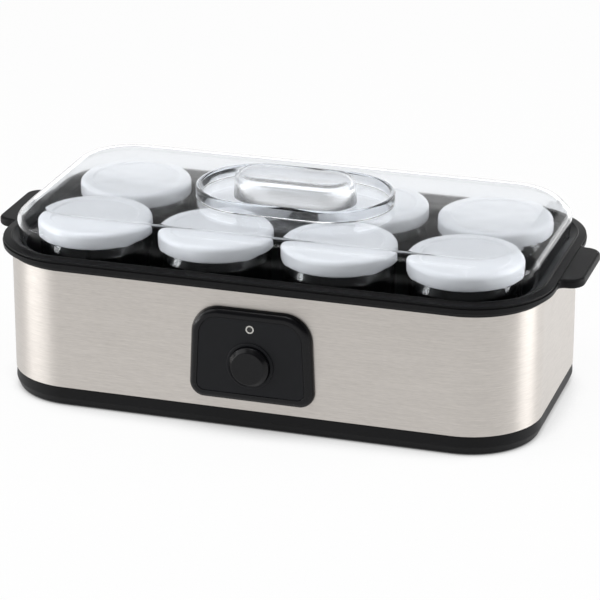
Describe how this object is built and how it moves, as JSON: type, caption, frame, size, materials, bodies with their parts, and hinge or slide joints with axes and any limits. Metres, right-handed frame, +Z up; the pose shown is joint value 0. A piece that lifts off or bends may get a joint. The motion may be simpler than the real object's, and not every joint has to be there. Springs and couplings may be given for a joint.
{
  "type": "yogurt maker",
  "caption": "Oblong yogurt maker: brushed steel band, black base and rim with tab handles, push-button panel, and lidded glass jars under a clear cover with a bar grip.",
  "frame": {"origin": "on the floor under the middle of the overall box", "axes": "+X to the right along the length, -Y towards the control panel, +Z up"},
  "size_m": [0.357, 0.1832, 0.129],
  "materials": {
    "brushed_steel": "horizontally brushed stainless sheet",
    "black_satin": "satin black moulded plastic",
    "black_matte": "fine-textured matt black plastic",
    "black_gloss": "semi-gloss black plastic",
    "white_print": "white ring",
    "smoked_lens": "dark tinted lens",
    "clear_plastic": "clear moulded plastic",
    "clear_glass": "clear pressed glass",
    "white_lid": "white semi-gloss plastic",
    "heater_metal": "plain sheet",
    "wire_sleeve": "silicone sleeve",
    "screw_metal": "plated steel",
    "foot_rubber": "soft black rubber",
    "lamp_glass": "neon lamp",
    "lead_sleeve": "insulated lead",
    "block_plastic": "pale moulded plastic"
  },
  "bodies": {
    "housing": {"base_tray": "black_satin", "steel_band": "brushed_steel", "tub": "black_satin", "panel_bezel": "black_gloss", "panel_face": "black_matte", "indicator_ring": "white_print", "indicator_lens": "smoked_lens", "indicator_lamp": "lamp_glass", "power_switch": "black_matte", "panel_screws": "screw_metal", "base_screws": "screw_metal", "heater_plate": "heater_metal", "heating_wire": "wire_sleeve", "thermostat": "heater_metal", "thermal_fuse": "heater_metal", "terminal_block": "block_plastic", "cord_gland": "black_satin", "lead_supply": "lead_sleeve", "lead_switch": "lead_sleeve", "lead_lamp": "lead_sleeve", "foot_1": "foot_rubber", "foot_2": "foot_rubber", "foot_3": "foot_rubber", "foot_4": "foot_rubber"},
    "button": {"power_button": "black_gloss"},
    "cover": {"cover": "clear_plastic", "cover_skirt_left": "clear_plastic", "cover_skirt_right": "clear_plastic", "cover_grip_wall": "clear_plastic", "cover_grip_bar": "clear_plastic"},
    "jar_1": {"jar_1": "clear_glass"},
    "lid_1": {"jar_lid_1": "white_lid"},
    "jar_2": {"jar_2": "clear_glass"},
    "lid_2": {"jar_lid_2": "white_lid"},
    "jar_3": {"jar_3": "clear_glass"},
    "lid_3": {"jar_lid_3": "white_lid"},
    "jar_4": {"jar_4": "clear_glass"},
    "lid_4": {"jar_lid_4": "white_lid"},
    "jar_5": {"jar_5": "clear_glass"},
    "lid_5": {"jar_lid_5": "white_lid"},
    "jar_6": {"jar_6": "clear_glass"},
    "lid_6": {"jar_lid_6": "white_lid"},
    "jar_7": {"jar_7": "clear_glass"},
    "lid_7": {"jar_lid_7": "white_lid"},
    "jar_8": {"jar_8": "clear_glass"},
    "lid_8": {"jar_lid_8": "white_lid"}
  },
  "joints": [
    {"name": "cover_lift", "type": "slide", "parent": "housing", "child": "cover", "axis": [0, 0, 1], "range_m": [0, 0.09]},
    {"name": "button_press", "type": "slide", "parent": "housing", "child": "button", "axis": [0, 1, 0], "range_m": [0, 0.003], "stiffness_N_per_m": 600},
    {"name": "jar_1_lift", "type": "slide", "parent": "housing", "child": "jar_1", "axis": [0, 0, 1], "range_m": [0, 0.007]},
    {"name": "lid_1_twist", "type": "hinge", "parent": "jar_1", "child": "lid_1", "pos_m": [-0.1122, -0.03465, 0.0985], "axis": [0, 0, 1], "range_deg": [0, 90]},
    {"name": "jar_2_lift", "type": "slide", "parent": "housing", "child": "jar_2", "axis": [0, 0, 1], "range_m": [0, 0.007]},
    {"name": "lid_2_twist", "type": "hinge", "parent": "jar_2", "child": "lid_2", "pos_m": [-0.0374, -0.03465, 0.0985], "axis": [0, 0, 1], "range_deg": [0, 90]},
    {"name": "jar_3_lift", "type": "slide", "parent": "housing", "child": "jar_3", "axis": [0, 0, 1], "range_m": [0, 0.007]},
    {"name": "lid_3_twist", "type": "hinge", "parent": "jar_3", "child": "lid_3", "pos_m": [0.0374, -0.03465, 0.0985], "axis": [0, 0, 1], "range_deg": [0, 90]},
    {"name": "jar_4_lift", "type": "slide", "parent": "housing", "child": "jar_4", "axis": [0, 0, 1], "range_m": [0, 0.007]},
    {"name": "lid_4_twist", "type": "hinge", "parent": "jar_4", "child": "lid_4", "pos_m": [0.1122, -0.03465, 0.0985], "axis": [0, 0, 1], "range_deg": [0, 90]},
    {"name": "jar_5_lift", "type": "slide", "parent": "housing", "child": "jar_5", "axis": [0, 0, 1], "range_m": [0, 0.007]},
    {"name": "lid_5_twist", "type": "hinge", "parent": "jar_5", "child": "lid_5", "pos_m": [-0.1122, 0.03465, 0.0985], "axis": [0, 0, 1], "range_deg": [0, 90]},
    {"name": "jar_6_lift", "type": "slide", "parent": "housing", "child": "jar_6", "axis": [0, 0, 1], "range_m": [0, 0.007]},
    {"name": "lid_6_twist", "type": "hinge", "parent": "jar_6", "child": "lid_6", "pos_m": [-0.0374, 0.03465, 0.0985], "axis": [0, 0, 1], "range_deg": [0, 90]},
    {"name": "jar_7_lift", "type": "slide", "parent": "housing", "child": "jar_7", "axis": [0, 0, 1], "range_m": [0, 0.007]},
    {"name": "lid_7_twist", "type": "hinge", "parent": "jar_7", "child": "lid_7", "pos_m": [0.0374, 0.03465, 0.0985], "axis": [0, 0, 1], "range_deg": [0, 90]},
    {"name": "jar_8_lift", "type": "slide", "parent": "housing", "child": "jar_8", "axis": [0, 0, 1], "range_m": [0, 0.007]},
    {"name": "lid_8_twist", "type": "hinge", "parent": "jar_8", "child": "lid_8", "pos_m": [0.1122, 0.03465, 0.0985], "axis": [0, 0, 1], "range_deg": [0, 90]}
  ]
}
